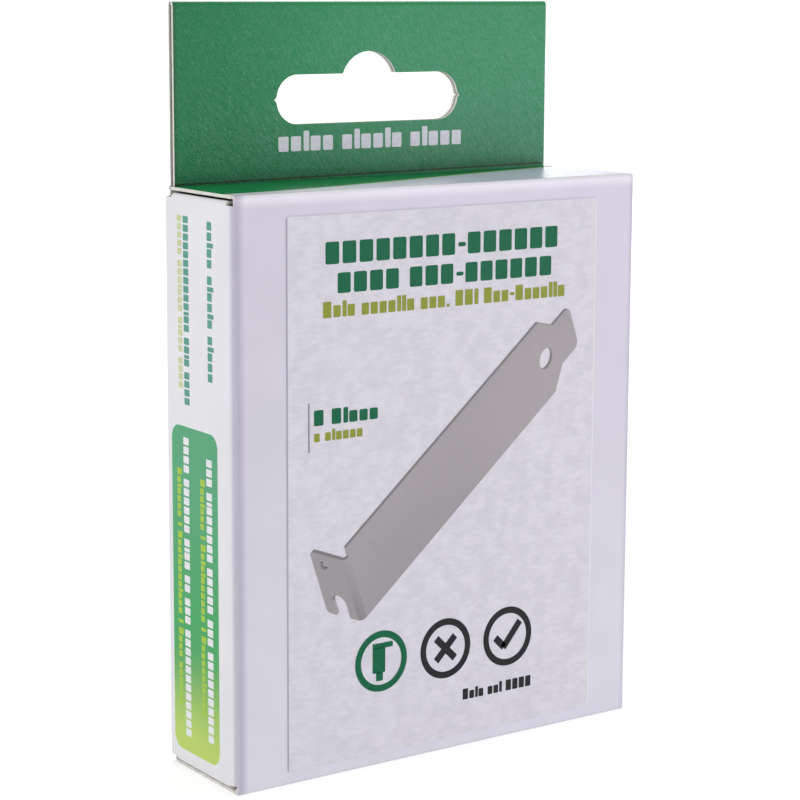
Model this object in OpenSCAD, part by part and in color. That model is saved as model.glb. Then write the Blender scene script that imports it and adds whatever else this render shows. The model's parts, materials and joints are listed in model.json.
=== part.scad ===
// Hanging retail carton for a set of low-profile slot covers.
// One die-cut sheet of folding board makes the box, its folded double header
// and its tuck closures. Six bent steel covers stand inside.
// Frame: +X to the right of the front, +Y to the back, +Z up, origin on the
// floor under the middle of the whole part.

/* [Box] */
// Width across the front panel
box_w = 70.6; // [64:0.2:90]
// Depth from the front panel's face to the back panel's face
box_d = 18.6; // [18:0.2:30]
// Height from the floor to the top flap's face
box_h = 83.3; // [82:0.1:110]
// Thickness of the folding board
board_t = 0.45; // [0.35:0.05:0.6]
// Outer radius of the four upright folds
fold_r = 1.1; // [0.8:0.1:2]
// Width of the glue flap inside the right side
glue_w = 12; // [8:1:16]
// How far the glue flap stops short of the side's ends
glue_short = 3; // [2:0.5:8]
// How far the right side's cut edge stops short of the back
seam_short = 0.35; // [0.2:0.05:0.8]

/* [Header] */
// Height of the header above the top flap
header_h = 25.4; // [24:0.1:40]
// Step between the box's left side and the header
header_left = 1.3; // [0.5:0.1:4]
// Step between the box's right side and the header
header_right = 3.9; // [1.5:0.1:5]
// Air between the header's two layers
header_gap = 0.3; // [0.1:0.05:0.6]

/* [Hang hole] */
// Width of the hang hole's slot
slot_w = 32; // [28:0.5:34]
// Height of the slot
slot_h = 7.1; // [6:0.1:9]
// Height of the slot's middle above the top flap
slot_up = 11.5; // [10:0.1:14]
// Radius of the bump that centres the hook
bump_r = 5; // [4:0.25:6]
// Rise of the bump above the slot's upper edge
bump_rise = 3.2; // [2.5:0.05:4]
// How far the cutting rule's joint nicks each end of the slot
nick_l = 0.35; // [0.1:0.05:0.6]

/* [Closures] */
// Step between the side panels and each end of a flap
flap_inset = 0.6; // [0.6:0.05:2]
// Length of the tuck tongue below its crease
tongue_l = 12; // [10:0.5:12.5]
// Radius of the tongue's free corners
tongue_r = 5; // [2:0.5:8]
// Length of the lock slit at each end of the tongue's crease
slit_l = 4.5; // [3:0.5:7]
// Length of a dust flap from the side's face
dust_l = 21; // [16:1:26]
// Step at the root of a dust flap, front and back
dust_root = 1.4; // [1.2:0.1:2.5]
// Slant of a dust flap's free corners
dust_slant = 3.5; // [2:0.5:5]
// Outer radius of a dust flap's fold
dust_r = 0.6; // [0.6:0.05:1]

/* [Clearances] */
// Play of a flap round its crease
crease_clear = 0.08; // [0.06:0.01:0.1]
// Gap between a flap and the dust flaps under it
dust_gap = 0.3; // [0.1:0.05:0.3]
// Gap between the top flap and the header in front of it
header_clear = 0.15; // [0.15:0.05:0.4]
// Gap between a dust flap and the tongue's path
tongue_clear = 0.7; // [0.6:0.1:1.5]
// Gap under and beside each slot cover
cover_clear = 0.08; // [0.05:0.01:0.15]

/* [Label] */
// Width of the stuck-on label
label_w = 54.4; // [40:0.2:58]
// Height of the label
label_h = 78.5; // [60:0.1:79]
// Thickness of the label
label_t = 0.1; // [0.08:0.01:0.15]
// How far the label sits right of the middle
label_right = 0.5; // [0:0.1:1.5]
// Height of the label's lower edge above the floor
label_up = 1.7; // [1.2:0.1:2]
// Radius of the label's corners
label_r = 0.6; // [0.3:0.1:2]

/* [Slot covers] */
// Overall height of a cover, foot included
cover_l = 79.2; // [76:0.2:80]
// Width of a cover
cover_w = 18.4; // [17:0.1:19]
// Thickness of the steel
cover_t = 0.8; // [0.7:0.05:1]
// Inner radius of the bend
bend_r = 0.6; // [0.4:0.1:1]
// Reach of the bent foot
foot_l = 11.4; // [10:0.2:11.6]
// How much narrower the foot is than the plate, on the small hole's side
foot_step = 2.4; // [1:0.2:4]
// Width of the tongue that drops into the case slot
tab_w = 10.2; // [8:0.2:12]
// Length of that tongue
tab_l = 6; // [4:0.5:8]
// Radius of the tongue's corners
tab_r = 1.5; // [0.5:0.25:2.5]
// Diameter of the hole above the tongue
hole_d = 4.4; // [3.6:0.2:6]
// Height of that hole above the tongue's tip
hole_up = 10.4; // [9:0.2:14]
// Width of the screw notch in the foot
notch_w = 4.4; // [3.6:0.2:5]
// Depth of the screw notch from the foot's side
notch_l = 5.6; // [4.5:0.2:7]
// Distance of the notch's middle from the foot's end
notch_in = 5.2; // [4.6:0.2:5.6]
// Diameter of the small hole in the foot
pip_d = 1.8; // [1:0.2:2.4]
// Distance of the small hole from the foot's end and side
pip_in = 3.2; // [2.4:0.2:4]
// Radius of the foot's free corners
foot_r = 1.2; // [0.5:0.1:2]
// Gap between the columns of covers
column_gap = 0.6; // [0.3:0.1:1.5]

/* [Hidden] */
$fn = 64;
// Overcut that keeps a cutter's faces off the faces that it cuts
cut = 1;

// The label stands proud of the front, so the box is set back by half of it
front_y = label_t - (box_d + label_t) / 2;
back_y = front_y + box_d;
side_x = box_w / 2;

// Header: two layers of board with air between, folded over at the top
header_t = 2 * board_t + header_gap;
header_y = back_y - header_t;
header_x0 = -side_x + header_left;
header_x1 = side_x - header_right;
header_mid = (header_x0 + header_x1) / 2;
header_top = box_h + header_h;

// Creases: a flap turns about the middle of a bead as thick as the board
crease_y = front_y + board_t;
crease_z = box_h - board_t;
tuck_y = header_y - header_clear - board_t;
flap_x = side_x - flap_inset;
tongue_x = flap_x - slit_l;

// Side panels end under the flaps, where their dust flaps fold in
side_top = crease_z - dust_gap;
tube_top = side_top - dust_r;
dust_back = tuck_y - tongue_clear;

// Covers stand in columns, two nested in each
COLUMNS = 3;
column_pitch = cover_w + column_gap;
nest_step = cover_t + cover_clear;
foot_w = cover_w - foot_step;
cover_y = front_y + 2 * board_t + cover_clear;
side_floor = box_h - side_top + board_t + cover_clear;
middle_floor = board_t + cover_clear;

board_white = [0.88, 0.88, 0.91];
print_green = [0.16, 0.52, 0.33];

// ---- Shapes that repeat ----

// A rectangle with rounded corners, from its lower left corner
module rounded(size, r) {
  translate([r, 0]) square([size[0] - 2 * r, size[1]]);
  translate([0, r]) square([size[0], size[1] - 2 * r]);
  for (x = [r, size[0] - r], y = [r, size[1] - r]) translate([x, y]) circle(r);
}

// The quarter of a fold's section that runs from +a towards +b round its centre
module fold_section(r, a, b) {
  intersection() {
    difference() {
      circle(r);
      circle(r - board_t);
    }
    translate([min(0, a * 2 * r), min(0, b * 2 * r)]) square(2 * r);
  }
}

// Extrudes a drawing made in the Y-Z plane along X between two places
module along_x(x0, x1) {
  translate([x0, 0, 0]) rotate([90, 0, 90]) linear_extrude(x1 - x0) children();
}

// Turns the top of the box over to its bottom
module at_bottom() {
  translate([0, 0, box_h]) mirror([0, 0, 1]) children();
}

// ---- Carton ----

// Section of the glued tube, seen from above
module tube_section() {
  left = -side_x + fold_r;
  right = side_x - fold_r;
  seam_x = side_x - board_t;
  glued = seam_x - fold_r;
  // Front, left side, back, and the right side with its cut edge at the seam
  translate([left, front_y]) square([right - left, board_t]);
  translate([-side_x, front_y + fold_r]) square([board_t, box_d - 2 * fold_r]);
  translate([left, back_y - board_t]) square([glued - left, board_t]);
  translate([seam_x, front_y + fold_r])
    square([board_t, box_d - fold_r - seam_short]);
  // Upright folds
  translate([left, front_y + fold_r]) fold_section(fold_r, -1, -1);
  translate([right, front_y + fold_r]) fold_section(fold_r, 1, -1);
  translate([left, back_y - fold_r]) fold_section(fold_r, -1, 1);
  translate([glued, back_y - fold_r]) fold_section(fold_r, 1, 1);
}

// Glue flap inside the right side, cut back at an angle at both ends
module glue_flap() {
  x = side_x - 2 * board_t;
  y1 = back_y - fold_r;
  z0 = box_h - tube_top;
  along_x(x, x + board_t)
    polygon([[y1, z0], [y1, tube_top], [y1 - glue_w, tube_top - glue_short],
             [y1 - glue_w, z0 + glue_short]]);
}

// A dust flap folded in from the left side's top
module dust_flap() {
  y0 = front_y + dust_root;
  y1 = dust_back;
  x0 = -side_x + dust_r;
  x1 = -side_x + dust_l;
  translate([0, y1, 0]) rotate([90, 0, 0]) linear_extrude(y1 - y0)
    translate([x0, tube_top]) fold_section(dust_r, -1, 1);
  translate([0, 0, side_top - board_t]) linear_extrude(board_t)
    polygon([[x0, y0], [x1 - dust_slant, y0], [x1, y0 + dust_slant],
             [x1, y1 - dust_slant], [x1 - dust_slant, y1], [x0, y1]]);
}

// The strip of the front panel between the tube's end and its bead
module front_top() {
  translate([-flap_x, front_y, tube_top - board_t])
    cube([2 * flap_x, board_t, crease_z - tube_top + board_t]);
}

// The front panel's bead, which a flap turns about
module crease_bead() {
  translate([-flap_x, crease_y, crease_z]) rotate([0, 90, 0])
    cylinder(h = 2 * flap_x, r = board_t);
}

// Outline of the hang hole in the header's own plane
module hang_hole() {
  end = slot_w / 2 - slot_h / 2;
  translate([-end, -slot_h / 2]) square([2 * end, slot_h]);
  for (s = [-1, 1]) {
    translate([s * end, 0]) circle(d = slot_h);
    translate([s * slot_w / 2, 0])
      polygon([[-s * nick_l, -2 * nick_l], [s * nick_l, 0], [-s * nick_l, 2 * nick_l]]);
  }
  translate([0, slot_h / 2 + bump_rise - bump_r]) circle(bump_r);
}

// Header: the back panel runs up, folds over and comes down in front
module header() {
  top = header_top - header_t / 2;
  difference() {
    along_x(header_x0, header_x1) {
      translate([back_y - board_t, box_h - board_t])
        square([board_t, top - box_h + board_t]);
      translate([header_y, crease_z]) square([board_t, top - crease_z]);
      translate([header_y + header_t / 2, top]) for (s = [-1, 1])
        fold_section(header_t / 2, s, 1);
    }
    translate([header_mid, back_y + cut, box_h + slot_up]) rotate([90, 0, 0])
      linear_extrude(header_t + 2 * cut) hang_hole();
  }
}

// The folded sheet: tube, header, dust flaps and the flaps' beads
module carton() color(board_white) {
  tube_low = box_h - tube_top;
  translate([0, 0, tube_low]) linear_extrude(tube_top - tube_low) tube_section();
  // The front runs on to the beads, and the back to both ends
  front_top();
  at_bottom() front_top();
  translate([-side_x + fold_r, back_y - board_t, 0])
    cube([box_w - 2 * fold_r - board_t, board_t, box_h]);
  glue_flap();
  header();
  for (side = [0, 1]) mirror([side, 0, 0]) {
    dust_flap();
    at_bottom() dust_flap();
  }
  crease_bead();
  at_bottom() crease_bead();
}

// ---- Closures ----

// A closure's main panel: hinged at the front, with an ear past each lock slit
module flap_panel() {
  ear_y = tuck_y + board_t;
  difference() {
    translate([0, 0, crease_z]) linear_extrude(board_t) {
      translate([-flap_x, crease_y]) square([2 * flap_x, tuck_y - crease_y]);
      for (s = [-1, 1]) translate([s < 0 ? -flap_x : tongue_x, tuck_y - cut])
        square([slit_l, ear_y - tuck_y + cut]);
    }
    translate([-side_x, crease_y, crease_z]) rotate([0, 90, 0])
      cylinder(h = box_w, r = board_t + crease_clear);
  }
  translate([-tongue_x, tuck_y, crease_z]) rotate([0, 90, 0])
    cylinder(h = 2 * tongue_x, r = board_t);
}

// A closure's tuck tongue, hanging from the panel's far bead
module flap_tongue() {
  width = 2 * (tongue_x - crease_clear);
  difference() {
    translate([-width / 2, tuck_y + board_t, crease_z - tongue_l]) rotate([90, 0, 0])
      linear_extrude(board_t) {
        rounded([width, tongue_l], tongue_r);
        translate([0, tongue_r]) square([width, tongue_l - tongue_r]);
      }
    translate([-side_x, tuck_y, crease_z]) rotate([0, 90, 0])
      cylinder(h = box_w, r = board_t + crease_clear);
  }
}

module top_flap() color(print_green) flap_panel();
module top_tongue() color(print_green) flap_tongue();
module bottom_flap() color(board_white) at_bottom() flap_panel();
module bottom_tongue() color(board_white) at_bottom() flap_tongue();

// ---- Label ----

module front_label() color([0.82, 0.82, 0.84])
  translate([label_right - label_w / 2, front_y, label_up]) rotate([90, 0, 0])
    linear_extrude(label_t) rounded([label_w, label_h], label_r);

// ---- Slot covers ----

// Flat of a cover's plate, tongue down, up to the start of the bend
module cover_plate() {
  shoulder = (cover_w - tab_w) / 2;
  plate_top = cover_l - cover_t - bend_r;
  difference() {
    union() {
      polygon([[-tab_w / 2, tab_l], [tab_w / 2, tab_l],
               [cover_w / 2, tab_l + shoulder], [cover_w / 2, plate_top],
               [-cover_w / 2, plate_top], [-cover_w / 2, tab_l + shoulder]]);
      translate([-tab_w / 2, 0]) rounded([tab_w, tab_l + tab_r], tab_r);
    }
    translate([0, hole_up]) circle(d = hole_d);
  }
}

// Flat of a cover's foot, from the end of the bend (y = 0) to its free end
module cover_foot() {
  reach = foot_l - cover_t - bend_r;
  notch_x = notch_l - notch_w / 2 - cover_w / 2;
  notch_y = reach - notch_in;
  difference() {
    translate([-cover_w / 2, 0]) {
      square([foot_w, reach - foot_r]);
      translate([0, reach - 2 * foot_r - cut]) rounded([foot_w, 2 * foot_r + cut], foot_r);
    }
    translate([notch_x, notch_y]) circle(d = notch_w);
    translate([notch_x - notch_l - cut, notch_y - notch_w / 2])
      square([notch_l + cut, notch_w]);
    translate([foot_w - cover_w / 2 - pip_in, reach - pip_in]) circle(d = pip_d);
  }
}

// One bent steel cover: the plate stands on its tongue, its foot at the top
module slot_cover() color([0.72, 0.72, 0.70]) {
  bend_z = cover_l - cover_t - bend_r;
  translate([0, cover_t, 0]) rotate([90, 0, 0]) linear_extrude(cover_t) cover_plate();
  along_x(-cover_w / 2, foot_w - cover_w / 2) translate([cover_t + bend_r, bend_z])
    intersection() {
      difference() {
        circle(cover_t + bend_r);
        circle(bend_r);
      }
      translate([-2 * bend_r - cover_t, 0]) square(2 * bend_r + cover_t);
    }
  translate([0, cover_t + bend_r, cover_l - cover_t])
    linear_extrude(cover_t) cover_foot();
}

// Cover number i, from 0: the first row stands in the floor, the second is
// nested over it, one thickness further forward and up
module placed_cover(i) {
  column = i % COLUMNS - 1;
  row = floor(i / COLUMNS);
  stand = column == 0 ? middle_floor : side_floor;
  translate([column * column_pitch, cover_y + (1 - row) * nest_step, stand + row * nest_step])
    slot_cover();
}

carton();
top_flap();
top_tongue();
bottom_flap();
bottom_tongue();
front_label();
for (i = [0:5])
  placed_cover(i);
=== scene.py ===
# %% [markdown]
# # A hanging retail carton
#
# The real object is a slim carton of folding board that hangs on a shop hook. One
# die-cut sheet makes the box, its double header with a euro hole, and its tuck
# closures. A paper label is stuck on the front, and six bent steel slot covers stand
# inside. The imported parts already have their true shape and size, so this lesson
# gives them their finishes and prints the carton.
#
# We start with the frame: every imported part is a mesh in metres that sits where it
# belongs, and places on them are read from their boxes.

# %% The frame
import json
import math

import bpy
from mathutils import Matrix, Vector


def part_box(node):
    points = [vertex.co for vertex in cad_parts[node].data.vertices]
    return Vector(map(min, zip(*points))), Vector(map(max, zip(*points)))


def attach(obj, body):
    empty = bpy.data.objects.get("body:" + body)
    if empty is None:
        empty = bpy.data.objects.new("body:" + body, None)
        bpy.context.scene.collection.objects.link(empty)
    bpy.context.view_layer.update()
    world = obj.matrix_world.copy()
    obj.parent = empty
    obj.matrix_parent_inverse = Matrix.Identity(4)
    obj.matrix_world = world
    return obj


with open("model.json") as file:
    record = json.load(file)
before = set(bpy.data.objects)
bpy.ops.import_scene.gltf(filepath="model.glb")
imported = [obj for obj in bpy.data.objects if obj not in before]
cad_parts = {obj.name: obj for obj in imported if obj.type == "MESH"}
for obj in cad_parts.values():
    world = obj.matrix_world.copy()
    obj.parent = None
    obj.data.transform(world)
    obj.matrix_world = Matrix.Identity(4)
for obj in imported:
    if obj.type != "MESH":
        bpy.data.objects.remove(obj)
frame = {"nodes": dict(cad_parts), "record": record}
bpy.ops.object.select_all(action="DESELECT")
scene = bpy.context.scene
nodes = frame["nodes"]
mounts = {mount["name"]: mount for mount in frame["record"]["mounts"]}
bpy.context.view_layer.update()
mm = 0.001

carton_low, carton_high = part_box("carton")
lid_low, lid_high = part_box("top_flap")
label_low, label_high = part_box("front_label")
hook = Vector(mounts["hang_hole"]["pos_m"])
box_top = lid_high.z
header_top = carton_high.z
# The hook goes through the middle of the header's two layers
header_front = 2 * hook.y - carton_high.y
print("parts:", ", ".join(sorted(nodes)))
print("box height %.1f mm, header top %.1f mm" % (box_top / mm, header_top / mm))

# %% [markdown]
# ## Camera
#
# A product camera stands well back with a long lens, so that upright edges stay
# nearly parallel. It is turned to show the front and the left side and looks down a
# little. A small lens shift keeps the header in the frame without tilting further.

# %% Camera
eye = Vector((-190.8, -270.9, 111.4)) * mm
turn, down, roll = math.radians(34.97), math.radians(9.15), math.radians(0.27)
bpy.ops.object.camera_add(location=eye)
camera = bpy.context.object
camera.name = "camera"
camera.matrix_world = (
    Matrix.Translation(eye)
    @ Matrix.Rotation(-turn, 4, "Z")
    @ Matrix.Rotation(math.pi / 2 - down, 4, "X")
    @ Matrix.Rotation(roll, 4, "Z")
)
camera.data.sensor_width = 36
camera.data.lens = 103.2
camera.data.shift_y = -0.06
camera.data.clip_start = 0.01
scene.camera = camera

# %% [markdown]
# ## Node helpers
#
# Shaders work in linear light, while colours are picked as sRGB hex values, so one
# function turns one into the other. A second one adds any node with its settings
# and links. The rest build masks: a mask is 1 where a finish applies and 0 elsewhere.

# %% Colour and node helpers
def linear(code):
    """An sRGB hex colour as the linear red, green, blue and alpha of a socket."""
    parts = [int(code[i : i + 2], 16) / 255 for i in (0, 2, 4)]
    return [c / 12.92 if c <= 0.04045 else ((c + 0.055) / 1.055) ** 2.4 for c in parts] + [1]


def add(tree, kind, inputs=None, **settings):
    """Adds a shader node. Its inputs, by name or number, are values or sockets."""
    node = tree.nodes.new("ShaderNode" + kind)
    for name, value in settings.items():
        setattr(node, name, value)
    for key, value in (inputs or {}).items():
        if isinstance(value, bpy.types.NodeSocket):
            tree.links.new(value, node.inputs[key])
        else:
            node.inputs[key].default_value = value
    return node


def within(tree, value, low, high):
    """A mask of where a value lies between two limits."""
    middle, reach = (low + high) / 2, (high - low) / 2
    return add(tree, "Math", {0: value, 1: middle, 2: reach}, operation="COMPARE").outputs[0]


def all_of(tree, first, *rest):
    """A mask of where all the given masks hold."""
    for mask in rest:
        first = add(tree, "Math", {0: first, 1: mask}, operation="MULTIPLY").outputs[0]
    return first


def any_of(tree, first, *rest):
    """A mask of where at least one of the given masks holds."""
    for mask in rest:
        first = add(tree, "Math", {0: first, 1: mask}, operation="MAXIMUM").outputs[0]
    return first


def none_of(tree, *masks):
    """A mask of where none of the given masks holds."""
    return add(tree, "Math", {0: 1.0, 1: any_of(tree, *masks)}, operation="SUBTRACT").outputs[0]


def blend(tree, mask, below, above):
    """One colour, or socket of a colour, over another where the mask holds."""
    return add(tree, "Mix", {0: mask, 6: below, 7: above}, data_type="RGBA").outputs[2]


def ramp(tree, value, start, end, low=0.0, high=1.0):
    """Turns a value that runs from start to end into one that runs from low to high."""
    inputs = {0: value, 1: start, 2: end, 3: low, 4: high}
    return add(tree, "MapRange", inputs, interpolation_type="SMOOTHSTEP").outputs[0]


def new_material(name):
    """An empty material, its node tree and its Principled shader."""
    material = bpy.data.materials.new(name)
    material.use_nodes = True
    tree = material.node_tree
    return material, tree, tree.nodes["Principled BSDF"]


def places(tree):
    """Where a point lies on the object, in millimetres, and which way it faces."""
    coords = add(tree, "TexCoord")
    point = add(
        tree, "VectorMath", {0: coords.outputs["Object"], "Scale": 1 / mm}, operation="SCALE"
    ).outputs[0]
    along = add(tree, "SeparateXYZ", {0: point}).outputs
    facing = add(tree, "SeparateXYZ", {0: coords.outputs["Normal"]}).outputs
    return point, along, facing


def paint(node_name, material):
    """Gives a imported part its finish."""
    for slot in nodes[node_name].material_slots:
        slot.material = material


# %% [markdown]
# ## Folding board
#
# The board is solid bleached pulp with a clay coating on the outside. The coating is
# rolled smooth and takes print, so it has a soft satin sheen over a faint fibre
# grain. Where the board is cut, and on the inside, the bare pulp shows: warmer,
# rougher and without sheen. One function makes that surface for every board part,
# and each part says only where its coating is and what is printed on it.

# %% Folding board
coating_white = linear("E6E5EA")
bare_pulp = linear("E4E1DC")
ink_green = linear("008B52")
painted_black = linear("1E1C1D")
everywhere = 1000.0
fibre_grain = 0.7
panel_waves = 9.0


def board_surface(tree, shader, point, coated, colour, relief=None, painted_shadow_and_dark_edge=None):
    """Fills the shader: printed and coated, or bare, or painted black for shadow and a dark edge, with fibre
    grain.
    """
    fibres = add(
        tree, "TexNoise", {"Vector": point, "Scale": 1 / fibre_grain, "Detail": 3, "Roughness": 0.6}
    ).outputs[0]
    waves = add(
        tree, "TexNoise", {"Vector": point, "Scale": 1 / panel_waves, "Detail": 1}
    ).outputs[0]
    tint = ramp(tree, waves, 0.3, 0.7, 0.965, 1.0)
    toned = add(
        tree, "Mix", {0: 1.0, 6: colour, 7: tint}, data_type="RGBA", blend_type="MULTIPLY"
    ).outputs[2]
    bare = blend(tree, ramp(tree, fibres, 0.35, 0.65), linear("D6D2CB"), bare_pulp)
    seen = blend(tree, coated, bare, toned)
    # Black painted over: painted shadow in the carton's gaps, and a dark cut edge
    if painted_shadow_and_dark_edge is not None:
        seen = blend(tree, painted_shadow_and_dark_edge, seen, painted_black)
    tree.links.new(seen, shader.inputs["Base Color"])
    shader.inputs["Specular IOR Level"].default_value = 0.35
    tree.links.new(ramp(tree, coated, 0, 1, 0.85, 0.33), shader.inputs["Roughness"])
    height = add(
        tree, "Math", {0: fibres, 1: 0.012, 2: ramp(tree, waves, 0, 1, 0, 0.12)},
        operation="MULTIPLY_ADD",
    ).outputs[0]
    if relief is not None:
        height = add(tree, "Math", {0: height, 1: relief}, operation="ADD").outputs[0]
    bump = add(tree, "Bump", {"Height": height, "Distance": mm, "Strength": 1.0})
    tree.links.new(bump.outputs[0], shader.inputs["Normal"])


# %% [markdown]
# ## The carton's print
#
# The outside of the tube is white, the header is green on both faces, and the left
# side carries a panel that fades from green to lime. All of it is drawn by rule: the
# outside is what lies near the tube's rounded outline, the panel is a rounded
# rectangle, and its fade follows the height.

# %% The carton's board
fold_radius = 1.1
skin = 0.2
header_half = 32.7
stroke_length = 1.3
stroke_width = 0.42


def rounded_outline(tree, point, middle, half, radius):
    """How far a point lies outside a box shrunk by its corner radius, in millimetres."""
    inner = Vector(max(size - radius, 0) for size in half)
    offset = add(tree, "VectorMath", {0: point, 1: middle}, operation="SUBTRACT").outputs[0]
    size = add(tree, "VectorMath", {0: offset}, operation="ABSOLUTE").outputs[0]
    over = add(tree, "VectorMath", {0: size, 1: inner}, operation="SUBTRACT").outputs[0]
    clear = add(tree, "VectorMath", {0: over, 1: (0, 0, 0)}, operation="MAXIMUM").outputs[0]
    return add(tree, "VectorMath", {0: clear}, operation="LENGTH").outputs["Value"]


def carton_board():
    material, tree, shader = new_material("clay-coated folding board, printed")
    point, (x, y, z), (nx, ny, nz) = places(tree)
    low, high, top = carton_low / mm, carton_high / mm, box_top / mm

    # The tube's outer faces lie near its rounded outline, apart from the seam's cut
    middle = Vector(((low.x + high.x) / 2, (low.y + high.y) / 2, 0))
    half = Vector(((high.x - low.x) / 2, (high.y - low.y) / 2, everywhere))
    outline = rounded_outline(tree, point, middle, half, fold_radius)
    walls = within(tree, outline, fold_radius - skin, fold_radius + skin)
    upright = within(tree, nz, -0.7, 0.7)
    seam_cut = all_of(
        tree, within(tree, ny, 0.7, 2), within(tree, y, -everywhere, high.y - skin)
    )
    header = all_of(
        tree,
        within(tree, z, top - 0.5, everywhere),
        within(tree, y, header_front / mm - skin, everywhere),
    )
    tube = all_of(tree, walls, upright, none_of(tree, seam_cut, header))

    # The front panel with its two creases, and the dust flaps that fold in
    front = within(tree, y, low.y - skin, low.y + 2 * skin)
    dust_top = all_of(tree, within(tree, nz, 0.3, 2), within(tree, z, top - 1.3, top - 0.6))
    dust_base = all_of(tree, within(tree, nz, -2, -0.3), within(tree, z, 0.6, 1.3))

    # The header's two faces and the fold over its top
    between = within(tree, y, header_front / mm + 0.1, high.y - 0.1)
    faces = none_of(tree, within(tree, ny, -0.5, 0.5), between)
    over_top = all_of(
        tree, within(tree, nz, 0.3, 2), within(tree, z, header_top / mm - 0.7, everywhere)
    )
    printed_header = all_of(tree, header, any_of(tree, faces, over_top))
    coated = any_of(tree, tube, front, dust_top, dust_base, printed_header)

    # The left side's panel, which fades from green to lime
    panel_middle = Vector((0, 1.1, 26.55))
    panel_half = Vector((everywhere, 6.3, 23.6))
    panel_corner = 2.0
    edge = rounded_outline(tree, point, panel_middle, panel_half, panel_corner)
    panel = all_of(
        tree,
        within(tree, edge, -1, panel_corner),
        within(tree, nx, -2, -0.7),
        within(tree, x, low.x - 1, low.x + skin),
    )
    greens = blend(tree, ramp(tree, z, 45.0, 20.0), linear("41A06E"), linear("25A052"))
    fading = blend(tree, ramp(tree, z, 20.0, 3.0), greens, linear("B8D25A"))

    # The front panel's upper crease stands a little proud, and a band along it is painted pale: a painted
    # highlight of its rounding
    crease_highlight = all_of(tree, front, ramp(tree, z, top - 2.0, top - 0.5))
    front_face = ramp(tree, y, low.y + fold_radius, low.y, 0, 1)
    # The front face is painted lighter towards its foot and darker towards the top: painted light
    front_painted_light = blend(tree, ramp(tree, z, 0, top), linear("EFEEF7"), linear("DFDCE7"))
    white = blend(tree, front_face, coating_white, front_painted_light)
    white = blend(tree, crease_highlight, white, linear("F8F6FC"))

    # The header's green is painted lighter towards the upper right, a painted sheen, and darker
    # along its base and left edge, painted shade, with a painted shadow line in the crease
    painted_sheen = all_of(
        tree, ramp(tree, x, low.x, low.x + 34), ramp(tree, z, top, top + 13)
    )
    green = blend(tree, painted_sheen, linear("007F49"), linear("1E9259"))
    header_left = hook.x / mm - header_half
    crease_line = add(
        tree, "MapRange", {0: x, 1: low.x, 2: high.x, 3: top + 0.1, 4: top + 0.65}
    ).outputs[0]
    above = add(tree, "Math", {0: z, 1: crease_line}, operation="SUBTRACT").outputs[0]
    # Painted shade above the crease and along the left edge, and a painted shadow line in the crease
    shaded = all_of(tree, ramp(tree, above, 0.1, 1.8, 0.45, 0), within(tree, above, 0, everywhere))
    crease_shadow = within(tree, above, -0.12, 0.16)
    edge_shade = ramp(tree, x, header_left + 0.1, header_left + 0.8, 0.6, 0)
    green = blend(tree, any_of(tree, shaded, edge_shade), green, linear("00522A"))
    crease_shadow = all_of(tree, crease_shadow, within(tree, x, -everywhere, header_left + 65.0))
    green = blend(tree, crease_shadow, green, linear("003A10"))
    # Its face is stamped with a leather grain of short slanting strokes
    slanted = add(
        tree, "Mapping", {"Vector": point, "Rotation": (0, math.radians(32), 0)}
    ).outputs[0]
    drawn_out = add(
        tree, "Mapping", {"Vector": slanted, "Scale": (1 / stroke_width, 1, 1 / stroke_length)}
    ).outputs[0]
    strokes = add(
        tree, "TexNoise", {"Vector": drawn_out, "Scale": 1.0, "Detail": 3, "Distortion": 2.0}
    ).outputs[0]
    stamped = all_of(tree, printed_header, ramp(tree, x, low.x + 45, low.x, 0.4, 1))
    grain = add(tree, "Math", {0: strokes, 1: stamped}, operation="MULTIPLY").outputs[0]

    colour = blend(tree, printed_header, white, green)
    colour = blend(tree, panel, colour, fading)

    # The score beside each upright fold leaves a shallow channel, and a band beside it is painted darker: painted
    # shade of the fold's rounding
    channel = 2.4
    front_side = within(tree, y, low.y - skin, low.y + fold_radius)
    from_left = all_of(
        tree,
        ramp(tree, x, low.x, low.x + 0.35),
        ramp(tree, x, low.x + 0.9, low.x + channel, 1, 0),
    )
    from_right = ramp(tree, x, high.x - 0.6, high.x - 1.6, 0.5, 0)
    score = add(tree, "Math", {0: from_left, 1: from_right}, operation="ADD").outputs[0]
    score = all_of(tree, score, front_side)
    relief = add(tree, "Math", {0: score, 1: 0.08, 2: 0.0}, operation="MULTIPLY_ADD").outputs[0]
    relief = add(tree, "Math", {0: grain, 1: 0.15, 2: relief}, operation="MULTIPLY_ADD").outputs[0]
    fold_shade = add(tree, "Math", {0: score, 1: 0.7}, operation="MULTIPLY").outputs[0]
    colour = blend(tree, fold_shade, colour, linear("B8B4C5"))

    # The upper dust flaps' roots, where the lid's cut ends slide past, and the corners under the lid's front are
    # painted black: painted shadow of the deep gap under the lid
    roots = any_of(
        tree,
        within(tree, x, low.x + 0.6, low.x + 1.8),
        within(tree, x, high.x - 1.8, high.x - 0.6),
    )
    corners = all_of(
        tree,
        within(tree, z, top - 1.3, top - 0.4),
        within(tree, y, low.y + 0.5, low.y + 1.35),
        none_of(tree, tube, front),
    )
    # The back layer's cut edge on the left is painted dark grey
    dark_back_edge = all_of(
        tree,
        header,
        within(tree, x, header_left - 1, header_left + skin),
        within(tree, y, hook.y / mm + 0.02, high.y - 0.04),
        ramp(tree, ny, -1, 1, 0.6, 0.6),
    )
    painted_shadow_and_dark_edge = any_of(tree, all_of(tree, dust_top, roots), corners, dark_back_edge)
    board_surface(tree, shader, point, coated, colour, relief, painted_shadow_and_dark_edge)
    return material


paint("carton", carton_board())

# %% [markdown]
# ## The closures' board
#
# A flap is coated on the side that is outside when it is closed. The top one is
# printed: green at the back, pale blue in front, and a thin lime line between them
# that swings from the left end of the front crease to the right end of the header.

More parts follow.
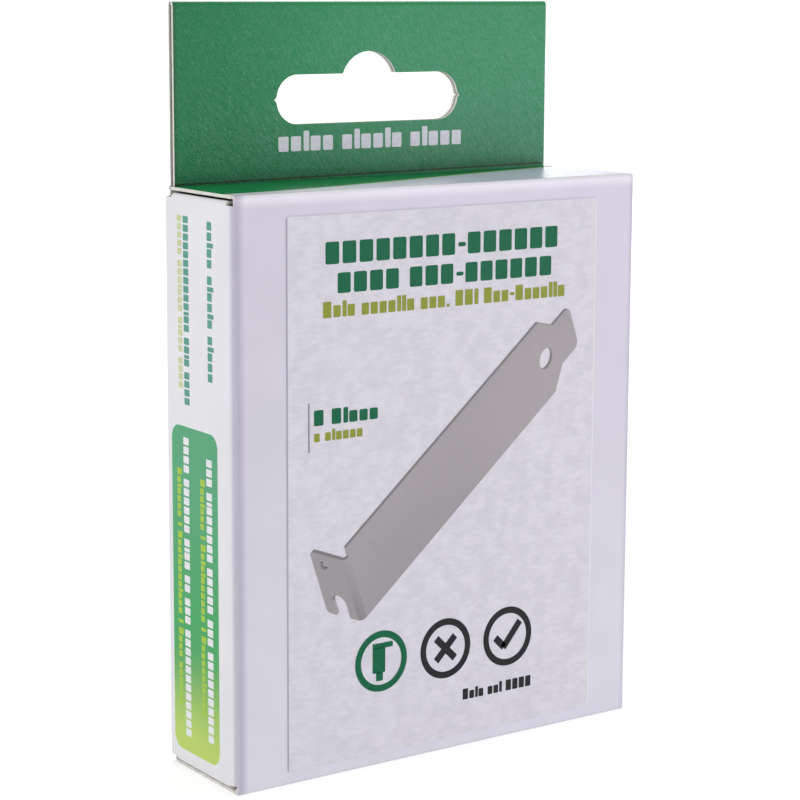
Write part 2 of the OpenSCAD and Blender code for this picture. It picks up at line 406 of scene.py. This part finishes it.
# %% The closures' board
def facing_side(tree, facing, outward):
    """A mask of the faces that look along an axis, such as +z, and not at its edges."""
    axis = facing["xyz".index(outward[1])]
    return within(tree, axis, 0.3, 2) if outward[0] == "+" else within(tree, axis, -2, -0.3)


def flap_board(name, outward, printed=None):
    """A flap's board, coated on one side. printed(tree, x, y) gives its colour."""
    material, tree, shader = new_material(name)
    point, along, facing = places(tree)
    coated = facing_side(tree, facing, outward)
    colour = printed(tree, along[0], along[1]) if printed else coating_white
    board_surface(tree, shader, point, coated, colour)
    return material


def lid_print(tree, x, y):
    """Green behind a lime line that bends from the front crease to the back."""
    line_width = 0.7
    left_y, right_y = -6.1, 8.9
    line = ramp(tree, x, -36.0, 49.0, left_y, right_y)
    header_side = within(tree, x, -everywhere, hook.x / mm + header_half)
    behind = add(tree, "Math", {0: y, 1: line}, operation="SUBTRACT").outputs[0]
    on_line = all_of(
        tree, within(tree, behind, 0, line_width), ramp(tree, x, -27.0, 0.0), header_side
    )
    field = blend(tree, ramp(tree, x, -30, 10), linear("F4F2FA"), linear("DEE2F4"))
    # A band along the front crease is painted paler: a painted highlight of the crease's roll
    roll_highlight = ramp(tree, y, label_high.y / mm + 0.2, label_high.y / mm + 1.6, 1, 0)
    field = blend(tree, roll_highlight, field, linear("FAF8FD"))
    # The green is painted darker towards the header: painted shade at the header's foot
    green = blend(tree, ramp(tree, y, 6.0, 8.0), linear("008548"), linear("006035"))
    green = blend(tree, all_of(tree, within(tree, behind, 0, everywhere), header_side), field, green)
    return blend(tree, on_line, green, linear("9CCB50"))


paint("top_flap", flap_board("clay-coated folding board, lid print", "+z", lid_print))
green_all_over = lambda tree, x, y: ink_green
paint("top_tongue", flap_board("clay-coated folding board, green", "+y", green_all_over))
paint("bottom_flap", flap_board("clay-coated folding board, base", "-z"))
paint("bottom_tongue", flap_board("clay-coated folding board, base tongue", "+y"))

# %% [markdown]
# ## Label paper
#
# The label is uncoated self-adhesive paper. It is a little greyer than the board and
# has no sheen, and its fibres lie along the web it was cut from, so they show as
# short level streaks. Its edge is painted: a fine darker line on the left and top,
# painted shadow of the edge, and a paler one on the right, a painted highlight.

# %% Label paper
def label_paper():
    material, tree, shader = new_material("uncoated self-adhesive paper")
    point, (x, y, z), facing = places(tree)
    low, high = label_low / mm, label_high / mm
    streak_length, streak_width, cloud_size = 1.6, 0.45, 2.2
    stretched = add(
        tree, "Mapping", {"Vector": point, "Scale": (1 / streak_length, 1, 1 / streak_width)}
    ).outputs[0]
    streaks = add(
        tree, "TexNoise", {"Vector": stretched, "Scale": 1.0, "Detail": 4, "Roughness": 0.65}
    ).outputs[0]
    clouds = add(tree, "TexNoise", {"Vector": point, "Scale": 1 / cloud_size, "Detail": 2}).outputs[0]
    mixed = add(tree, "Math", {0: streaks, 1: clouds}, operation="ADD").outputs[0]
    paper = blend(tree, ramp(tree, mixed, 0.75, 1.25), linear("E4E3E8"), linear("EEEDF2"))
    edge = 0.18
    left_edge_shadow = within(tree, x, low.x - 1, low.x + edge)
    top_edge_shadow = within(tree, z, high.z - edge, everywhere)
    right_edge_highlight = within(tree, x, high.x - edge, everywhere)
    # Painted light at the edge: painted shadow on the top and left, a painted highlight on the right
    paper = blend(tree, top_edge_shadow, paper, linear("DAD8E1"))
    paper = blend(tree, left_edge_shadow, paper, linear("B4B2BE"))
    paper = blend(tree, right_edge_highlight, paper, linear("F8F8FC"))
    tree.links.new(paper, shader.inputs["Base Color"])
    shader.inputs["Roughness"].default_value = 0.8
    bump = add(tree, "Bump", {"Height": streaks, "Distance": 0.02 * mm, "Strength": 1.0})
    tree.links.new(bump.outputs[0], shader.inputs["Normal"])
    return material


paint("front_label", label_paper())

# %% [markdown]
# ## Printing
#
# Printing ink is a film a few hundredths of a millimetre thick. Each group of print
# is a piece of its own, so that its edges stay crisp however close one looks. The
# lines of text are left as plain blocks, one for each letter's place, which keeps the
# grey of a line of type without saying anything. A line is written as a pattern: X
# is a tall block, x a low one, i a narrow one, a dash a dash and a dot a dot.

# %% Ink
def printing_ink(name, code, varnish=0.5):
    """Offset ink: a film that lies a little unevenly on the paper's fibres."""
    material, tree, shader = new_material(name)
    point = places(tree)[0]
    mottle_size = 0.5
    mottle = add(tree, "TexNoise", {"Vector": point, "Scale": 1 / mottle_size, "Detail": 3})
    even = ramp(tree, mottle.outputs[0], 0.3, 0.7, 0.9, 1.0)
    film = add(
        tree, "Mix", {0: 1.0, 6: linear(code), 7: even}, data_type="RGBA", blend_type="MULTIPLY"
    ).outputs[2]
    tree.links.new(film, shader.inputs["Base Color"])
    shader.inputs["Roughness"].default_value = varnish
    shader.inputs["Specular IOR Level"].default_value = 0.2
    bump = add(
        tree, "Bump", {"Height": mottle.outputs[0], "Distance": 0.01 * mm, "Strength": 1.0}
    )
    tree.links.new(bump.outputs[0], shader.inputs["Normal"])
    return material


dark_green_ink = printing_ink("dark green offset ink", "006B45")
olive_ink = printing_ink("olive offset ink", "9BA53C")
teal_ink = printing_ink("teal offset ink", "5C9F8A")
pale_olive_ink = printing_ink("pale olive offset ink", "D0D6A4")
lime_ink = printing_ink("lime offset ink", "A9CC4A")
black_ink = printing_ink("black offset ink", "1E2022")
grey_ink = printing_ink("grey offset ink", "8E9099")
unprinted = printing_ink("unprinted coated board", "EDECF2")

# %% Blocks of print
film_thickness = 0.03
film_buried = 0.01
block_advance = {"X": 1.0, "x": 0.88, "i": 0.5, "-": 0.6, ".": 0.42, " ": 0.5}
block_height = {"X": 1.0, "x": 0.74, "i": 1.0, "-": 0.2, ".": 0.2}
block_fill = 0.8
dash_rise = 0.36


def new_print():
    """Opens an empty mesh in edit mode, ready for blocks."""
    bpy.ops.object.select_all(action="DESELECT")
    bpy.ops.mesh.primitive_plane_add(size=mm, enter_editmode=True)
    bpy.ops.mesh.delete(type="VERT")


def add_block(left, base, width, tall):
    """One flat block, whose lower left corner is given in millimetres."""
    middle = ((left + width / 2) * mm, (base + tall / 2) * mm, 0)
    bpy.ops.mesh.primitive_plane_add(size=mm, location=middle)
    bpy.ops.transform.resize(value=(width, tall, 1), center_override=middle)


def add_line(pattern, left, base, length, tall):
    """A line of blocks that stands for a line of type of a given length."""
    pitch = length / sum(block_advance[mark] for mark in pattern)
    for mark in pattern:
        advance = block_advance[mark] * pitch
        if mark != " ":
            rise = dash_rise * tall if mark == "-" else 0
            add_block(left, base + rise, block_fill * advance, block_height[mark] * tall)
        left += advance


def finish_print(name, ink, placing, corner=0.12):
    """Rounds the blocks, gives them a film's thickness and lays them on the carton."""
    bpy.ops.mesh.select_all(action="SELECT")
    if corner:
        bpy.ops.mesh.bevel(offset=corner * mm, segments=2, affect="VERTICES")
    bpy.ops.object.mode_set(mode="OBJECT")
    piece = bpy.context.object
    piece.name = name
    film = piece.modifiers.new("film", "SOLIDIFY")
    film.thickness = film_thickness * mm
    bpy.ops.object.modifier_apply(modifier=film.name)
    piece.matrix_world = placing
    bpy.ops.object.transform_apply(location=True, rotation=True, scale=True)
    piece.data.materials.append(ink)
    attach(piece, "box")
    print(name, "has", len(piece.data.polygons), "faces")
    return piece


def facing_front(surface_y):
    """Lays print on an upright face that looks to the front, read from left to right."""
    lift = (film_thickness - film_buried) * mm
    return Matrix.Translation((0, surface_y - lift, 0)) @ Matrix.Rotation(math.pi / 2, 4, "X")


def facing_left(surface_x):
    """Lays print on the left side, read from the top down."""
    lift = (film_thickness - film_buried) * mm
    turned = Matrix(((0, 0, -1), (0, -1, 0), (-1, 0, 0))).to_4x4()
    return Matrix.Translation((surface_x - lift, 0, 0)) @ turned


# %% [markdown]
# The label carries a title of two heavy lines, a lighter line below, and a small pair
# of lines beside a thin rule.

# %% The label's lines
on_label = facing_front(label_low.y)
label_middle = (label_low.x + label_high.x) / 2 / mm

new_print()
add_line("XXXXXXXX-XXXXXX", label_middle - 20.9, 73.2, 41.2, 3.1)
add_line("XXXX XXX-XXXXXX", label_middle - 18.9, 69.1, 38.1, 2.85)
finish_print("title_print", dark_green_ink, on_label, 0.25)

new_print()
add_line("Xxix xxxxiix xxx. XXi Xxx-Xxxxiix", label_middle - 21.3, 65.8, 42.8, 2.25)
add_line("x xixxxx", label_middle - 22.8, 48.6, 8.3, 1.6)
finish_print("subtitle_print", olive_ink, on_label)

new_print()
add_line("X Xixxx", label_middle - 22.8, 50.85, 11.0, 2.2)
finish_print("count_print", dark_green_ink, on_label, 0.2)

new_print()
add_block(label_middle - 23.75, 47.2, 0.22, 6.95)
finish_print("rule_print", grey_ink, on_label, 0)

new_print()
add_line("Xxix xxi XXXX", label_middle + 3.2, 7.0, 12.9, 1.65)
finish_print("small_print", black_ink, on_label)

# %% [markdown]
# Three round pictograms stand below the picture: a cover seen from the front, the
# head of its screw, and a tick. Each is a ring cut from a disc with bars inside.

# %% Pictograms
badge_size = 9.0
badge_pitch = 11.4
ring_width = 1.0
badge_z = 15.4


def add_ring(x, y, size, width):
    """A flat ring: a disc whose middle is inset and then deleted."""
    middle = (x * mm, y * mm, 0)
    bpy.ops.mesh.primitive_circle_add(
        vertices=64, radius=size / 2 * mm, fill_type="NGON", location=middle
    )
    bpy.ops.mesh.inset(thickness=width * mm)
    bpy.ops.mesh.delete(type="FACE")


def add_bar(x, y, length, width, angle):
    """A bar about its middle, turned by an angle in degrees."""
    add_block(x - length / 2, y - width / 2, length, width)
    bpy.ops.transform.rotate(
        value=-math.radians(angle), orient_axis="Z", center_override=(x * mm, y * mm, 0)
    )


new_print()
cover_x = label_middle - badge_pitch
add_ring(cover_x, badge_z, badge_size, ring_width)
add_block(cover_x - 1.5, badge_z - 1.7, 2.2, 3.7)
add_block(cover_x - 0.9, badge_z - 2.9, 1.2, 1.3)
add_block(cover_x - 1.5, badge_z + 1.9, 3.5, 0.8)
finish_print("cover_pictogram", dark_green_ink, on_label, 0.15)

new_print()
bar_width, bar_length = 1.1, 4.8
half_length = (bar_length - bar_width) / 2
half_reach = (bar_width + half_length) / 2 * math.sqrt(0.5)
add_ring(label_middle, badge_z, badge_size, ring_width)
add_bar(label_middle, badge_z, bar_length, bar_width, 45)
add_bar(label_middle - half_reach, badge_z + half_reach, half_length, bar_width, 135)
add_bar(label_middle + half_reach, badge_z - half_reach, half_length, bar_width, 135)
finish_print("screw_pictogram", black_ink, on_label, 0)

new_print()
tick_x = label_middle + badge_pitch
add_ring(tick_x, badge_z, badge_size, ring_width)
add_bar(tick_x - 1.45, badge_z - 0.75, 2.3, bar_width, 135)
add_bar(tick_x + 0.75, badge_z + 0.2, bar_length, bar_width, 50)
finish_print("tick_pictogram", black_ink, on_label, 0)

# %% [markdown]
# The header has one white line, where the board is left unprinted, and the left side
# carries lines that run from the top down.

# %% Lines on the header and the left side
new_print()
add_line("xxixx xixxix xixxx", -17.0, 87.4, 32.8, 2.9)
finish_print("header_print", unprinted, facing_front(header_front), 0.2)

on_side = facing_left(carton_low.x)
new_print()
add_line("XXXXXXXXXXXiXX XXiX XXXX", -79.65, -3.7, 26.6, 1.4)
add_line("xxixx xixxix xixxx", -79.4, 2.8, 22.3, 1.65)
finish_print("side_print", teal_ink, on_side)

new_print()
add_line("XXXXX XXXiXXX XiXXX XXXX", -79.65, -5.3, 24.4, 1.15)
finish_print("side_print_pale", pale_olive_ink, on_side)

new_print()
add_line("XXXX XXXXXX XiXX XX XXX XXXXXXXXXXXX", -48.6, -4.15, 43.6, 1.5)
add_line("XXX XiXXXXXX XXXXX XXX XXXXXXXXXX", -46.5, 2.15, 40.8, 1.5)
finish_print("panel_print", unprinted, on_side)

new_print()
add_line("Xxixxxx i Xxxixxxxixxx i Xxxx xxxxxx", -44.0, -5.95, 34.8, 1.3)
add_line("Xxxixxx i Xxixixxxxxx i Xxxxxxixxxx", -43.4, 0.45, 34.2, 1.3)
finish_print("panel_print_lime", lime_ink, on_side, 0)

# %% [markdown]
# ## The picture on the label
#
# The label shows what is inside: one steel cover, seen at a slant. The picture is
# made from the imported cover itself. A copy is merged, turned and scaled, the faces
# that look away are deleted, and the rest is pressed flat. Before it is flat, each
# face gets a tone from the way it faces, which is how a draughtsman would shade it.

# %% The pictured cover
picture_scale = 0.748
picture_turn = Matrix.Rotation(math.radians(-113.7), 4, "Z")
picture_turn = picture_turn @ Matrix.Rotation(math.radians(-50.6), 4, "Y")
picture_turn = picture_turn @ Matrix.Rotation(math.radians(155.2), 4, "X")
picture_tip = Vector((label_middle + 23.1, 0, 61.2)) * mm
plate_tone, foot_tone, edge_tone = 0.85, 0.7, 0.1

cover_low, cover_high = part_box("slot_cover_1")
cover_origin = Vector(((cover_low.x + cover_high.x) / 2, cover_low.y, cover_low.z))
picture = bpy.data.objects.new("cover_picture", nodes["slot_cover_1"].data.copy())
scene.collection.objects.link(picture)
bpy.ops.object.select_all(action="DESELECT")
picture.select_set(True)
bpy.context.view_layer.objects.active = picture
bpy.ops.object.mode_set(mode="EDIT")
bpy.ops.mesh.select_all(action="SELECT")
bpy.ops.mesh.remove_doubles(threshold=0.001 * mm)
bpy.ops.mesh.select_mode(type="FACE")
bpy.ops.mesh.select_all(action="DESELECT")
bpy.ops.object.mode_set(mode="OBJECT")

picture.data.materials.clear()
tone = picture.data.attributes.new("tone", "FLOAT", "FACE")
for face in picture.data.polygons:
    if face.normal.y < -0.99:
        tone.data[face.index].value = plate_tone
    elif face.normal.z > 0.99:
        tone.data[face.index].value = foot_tone
    elif abs(face.normal.x) < 0.01 and face.normal.y < -0.01 and face.normal.z > 0.01:
        bent = face.normal.z
        tone.data[face.index].value = plate_tone + (foot_tone - plate_tone) * bent
    else:
        tone.data[face.index].value = edge_tone

for vertex in picture.data.vertices:
    vertex.co = picture_turn @ (vertex.co - cover_origin) * picture_scale
picture.data.update()
for face in picture.data.polygons:
    face.select = face.normal.y > -0.02
bpy.ops.object.mode_set(mode="EDIT")
bpy.ops.mesh.delete(type="FACE")
bpy.ops.object.mode_set(mode="OBJECT")
for vertex in picture.data.vertices:
    vertex.co.y = 0
film = picture.modifiers.new("film", "SOLIDIFY")
film.thickness = film_thickness * mm
bpy.ops.object.modifier_apply(modifier=film.name)
lift = (film_thickness - film_buried) * mm
picture.location = picture_tip + Vector((0, label_low.y - lift, 0))
bpy.ops.object.transform_apply(location=True, rotation=True, scale=True)


def picture_ink():
    """Halftone greys: the face's tone, with a faint brushed grain along the plate."""
    material, tree, shader = new_material("grey halftone print")
    point = places(tree)[0]
    shade = add(tree, "Attribute", attribute_name="tone").outputs["Fac"]
    slant = math.radians(-43)
    grain_length, grain_width = 14.0, 0.5
    along = add(tree, "Mapping", {"Vector": point, "Rotation": (0, slant, 0)}).outputs[0]
    stretched = add(
        tree, "Mapping", {"Vector": along, "Scale": (1 / grain_length, 1, 1 / grain_width)}
    ).outputs[0]
    grain = add(tree, "TexNoise", {"Vector": stretched, "Scale": 1.0, "Detail": 2}).outputs[0]
    clouds = add(tree, "TexNoise", {"Vector": point, "Scale": 1 / 22.0, "Detail": 0}).outputs[0]
    grey = blend(tree, shade, linear("787677"), linear("B4AFAF"))
    tint = add(
        tree, "Math", {0: ramp(tree, grain, 0.3, 0.7, 0.985, 1.015), 1: ramp(tree, clouds, 0.3, 0.7, 0.93, 1.05)},
        operation="MULTIPLY",
    ).outputs[0]
    grey = add(
        tree, "Mix", {0: 1.0, 6: grey, 7: tint}, data_type="RGBA", blend_type="MULTIPLY"
    ).outputs[2]
    tree.links.new(grey, shader.inputs["Base Color"])
    shader.inputs["Roughness"].default_value = 0.55
    return material


picture.data.materials.append(picture_ink())
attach(picture, "box")
print("cover_picture has", len(picture.data.polygons), "faces")

# %% [markdown]
# ## Nickel-plated steel
#
# The covers are stamped from cold-rolled strip and nickel plated. The strip keeps
# fine rolling lines along its length under the plating, which pull the highlights
# sideways. They are far finer than a tenth of a millimetre, so they are drawn
# coarser here, as coarse as they need to be to show.

# %% Slot covers
def plated_steel():
    material, tree, shader = new_material("nickel-plated sheet steel")
    point = places(tree)[0]
    rolling_pitch, rolling_length = 0.12, 9.0
    stretched = add(
        tree, "Mapping",
        {"Vector": point, "Scale": (1 / rolling_pitch, 1 / rolling_pitch, 1 / rolling_length)},
    ).outputs[0]
    lines = add(tree, "TexNoise", {"Vector": stretched, "Scale": 1.0, "Detail": 2}).outputs[0]
    colour = blend(tree, ramp(tree, lines, 0.3, 0.7), linear("B4B2AD"), linear("C9C7C2"))
    tree.links.new(colour, shader.inputs["Base Color"])
    shader.inputs["Metallic"].default_value = 1.0
    tree.links.new(ramp(tree, lines, 0.3, 0.7, 0.28, 0.4), shader.inputs["Roughness"])
    bump = add(tree, "Bump", {"Height": lines, "Distance": 0.01 * mm, "Strength": 0.6})
    tree.links.new(bump.outputs[0], shader.inputs["Normal"])
    return material


steel = plated_steel()
for number in range(1, 7):
    paint(f"slot_cover_{number}", steel)

# %% [markdown]
# ## Stage
#
# A plain pale floor and soft light: a large lamp on the left for the side, a weaker
# one at the right front whose sheen lies on the green, and an even sky. What the
# camera and reflections see of the sky is white, and the floor is lifted to white
# for them too, so only the shadow is left on it.

# %% Floor and sky
def sight_mask(tree):
    """1 for rays from the camera and for those that show in gloss or glass."""
    path = add(tree, "LightPath")
    names = ("Is Camera Ray", "Is Glossy Ray", "Is Transmission Ray")
    return any_of(tree, *[path.outputs[name] for name in names])


def floor_material():
    material, tree, shader = new_material("pale matt floor")
    shader.inputs["Base Color"].default_value = linear("F7F7F7")
    shader.inputs["Roughness"].default_value = 0.9
    away = add(tree, "VectorMath", {0: places(tree)[0]}, operation="LENGTH").outputs["Value"]
    lift = all_of(tree, sight_mask(tree), ramp(tree, away, 60.0, 500.0, 0.36, 0.6))
    shader.inputs["Emission Color"].default_value = (1, 1, 1, 1)
    tree.links.new(lift, shader.inputs["Emission Strength"])
    below = add(tree, "NewGeometry").outputs["Backfacing"]
    clear = add(tree, "BsdfTransparent")
    seen = add(tree, "MixShader", {0: below, 1: shader.outputs[0], 2: clear.outputs[0]})
    tree.links.new(seen.outputs[0], tree.nodes["Material Output"].inputs["Surface"])
    return material


bpy.ops.mesh.primitive_plane_add(size=6)
floor = bpy.context.object
floor.name = "floor"
floor.data.materials.append(floor_material())

sky_level = 0.555
world = bpy.data.worlds.new("studio sky")
scene.world = world
world.use_nodes = True
sky = world.node_tree.nodes["Background"]
sky.inputs["Color"].default_value = (1, 1, 1, 1)
level = ramp(world.node_tree, sight_mask(world.node_tree), 0, 1, sky_level, 1.0)
world.node_tree.links.new(level, sky.inputs["Strength"])


# %% Lamps
def softbox(name, place, size, watts, colour=(1, 1, 1)):
    """A square lamp of a given size that looks at the middle of the box."""
    target = Vector((0, 0, box_top / 2))
    place = Vector(place)
    bpy.ops.object.light_add(type="AREA", location=place)
    lamp = bpy.context.object
    lamp.name = name
    lamp.rotation_euler = (place - target).to_track_quat("Z", "Y").to_euler()
    lamp.data.size = size
    lamp.data.energy = watts
    lamp.data.color = colour


softbox("left softbox", (-0.9, -0.15, 0.35), 0.6, 3.1)
softbox("right front softbox", (0.32, -0.42, 0.03), 0.17, 0.7, (0.87, 0.76, 1.0))
softbox("back softbox", (0.4, 0.8, 0.45), 0.5, 2.2)

# %% The end
scene.view_settings.view_transform = "Standard"
